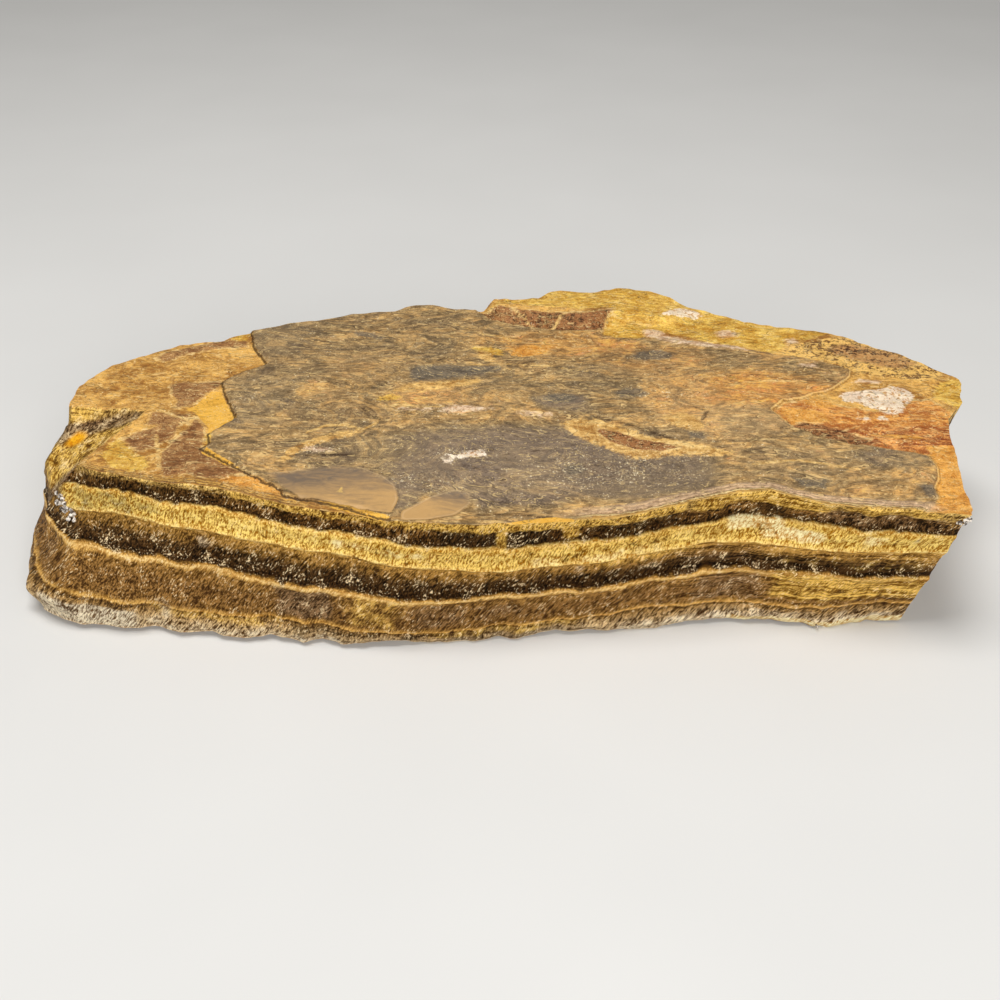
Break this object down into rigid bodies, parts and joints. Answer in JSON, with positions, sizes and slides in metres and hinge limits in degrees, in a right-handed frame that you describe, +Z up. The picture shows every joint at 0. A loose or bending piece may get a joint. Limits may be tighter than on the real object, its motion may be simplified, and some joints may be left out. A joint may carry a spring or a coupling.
{
  "type": "rough tigers eye slab",
  "caption": "Rough slab of tiger's eye rock with a weathered top, broken sides that show gold and dark fibrous bands as ledges, and a flat base to rest on.",
  "frame": {"origin": "middle of the bounding box in X and Y, on the flat base that the slab rests on", "axes": "+X along the length towards the pointed right end, +Y from the banded front side to the back, +Z up through the beds"},
  "size_m": [0.2634, 0.1296, 0.0437],
  "materials": {
    "tigers_eye": "rough broken quartz rock with golden and dark fibrous bands and a satin weathered top"
  },
  "bodies": {
    "root": {"tigers_eye_slab": "tigers_eye"}
  },
  "joints": []
}
